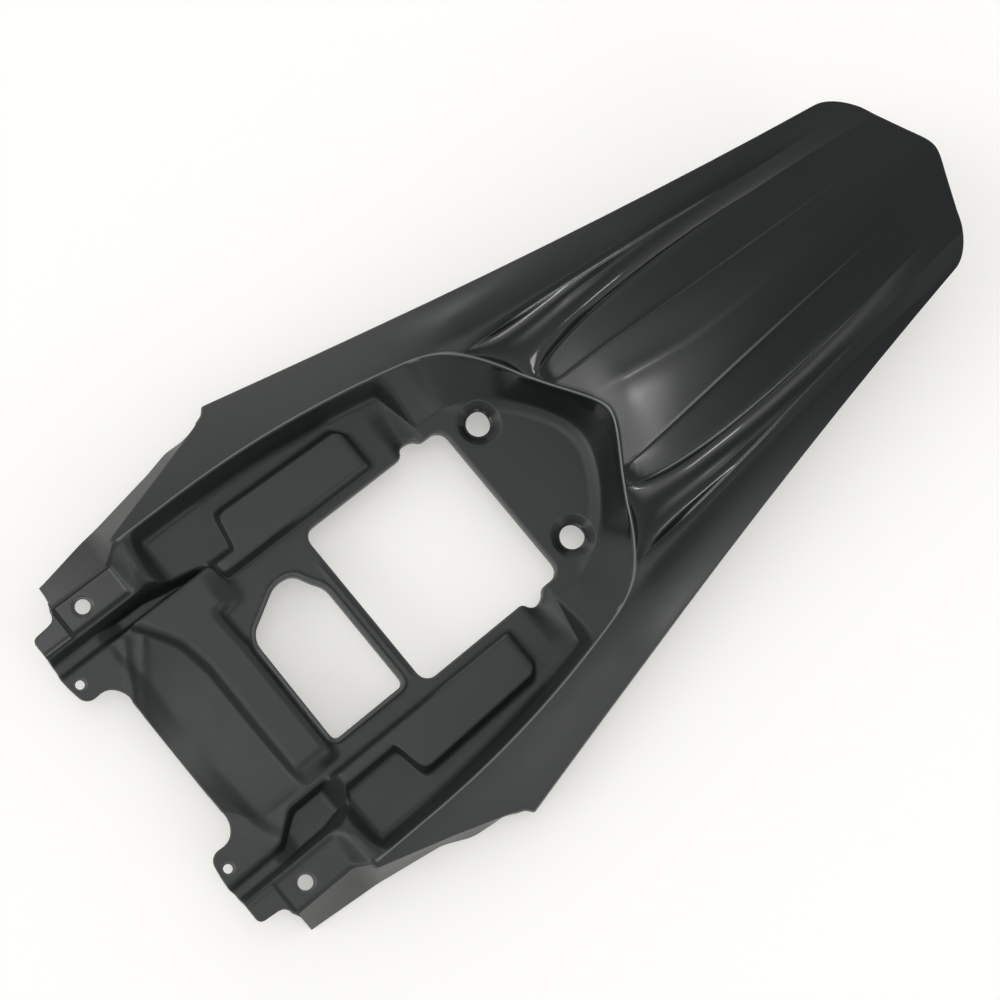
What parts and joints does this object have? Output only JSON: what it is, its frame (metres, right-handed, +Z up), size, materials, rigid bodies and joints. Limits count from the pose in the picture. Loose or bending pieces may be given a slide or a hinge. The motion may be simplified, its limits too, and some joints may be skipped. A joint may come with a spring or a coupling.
{
  "type": "motorcycle rear fender",
  "caption": "Motorcycle rear fender: an open seat deck with windows and raised pads between side wings, running back into a long crowned tail, held by deck bolts, ears and rails.",
  "frame": {"origin": "midway between the two deck bolts, on the seats that their heads pull down on", "axes": "+X towards the tail, +Y to the left wing, +Z up, square to the deck"},
  "size_m": [0.7234, 0.3648, 0.093],
  "materials": {
    "black_plastic": "black moulded plastic, satin on the deck and wings, glossy on the tail and the left rail pad"
  },
  "bodies": {
    "root": {"rear_fender": "black_plastic"}
  },
  "joints": []
}
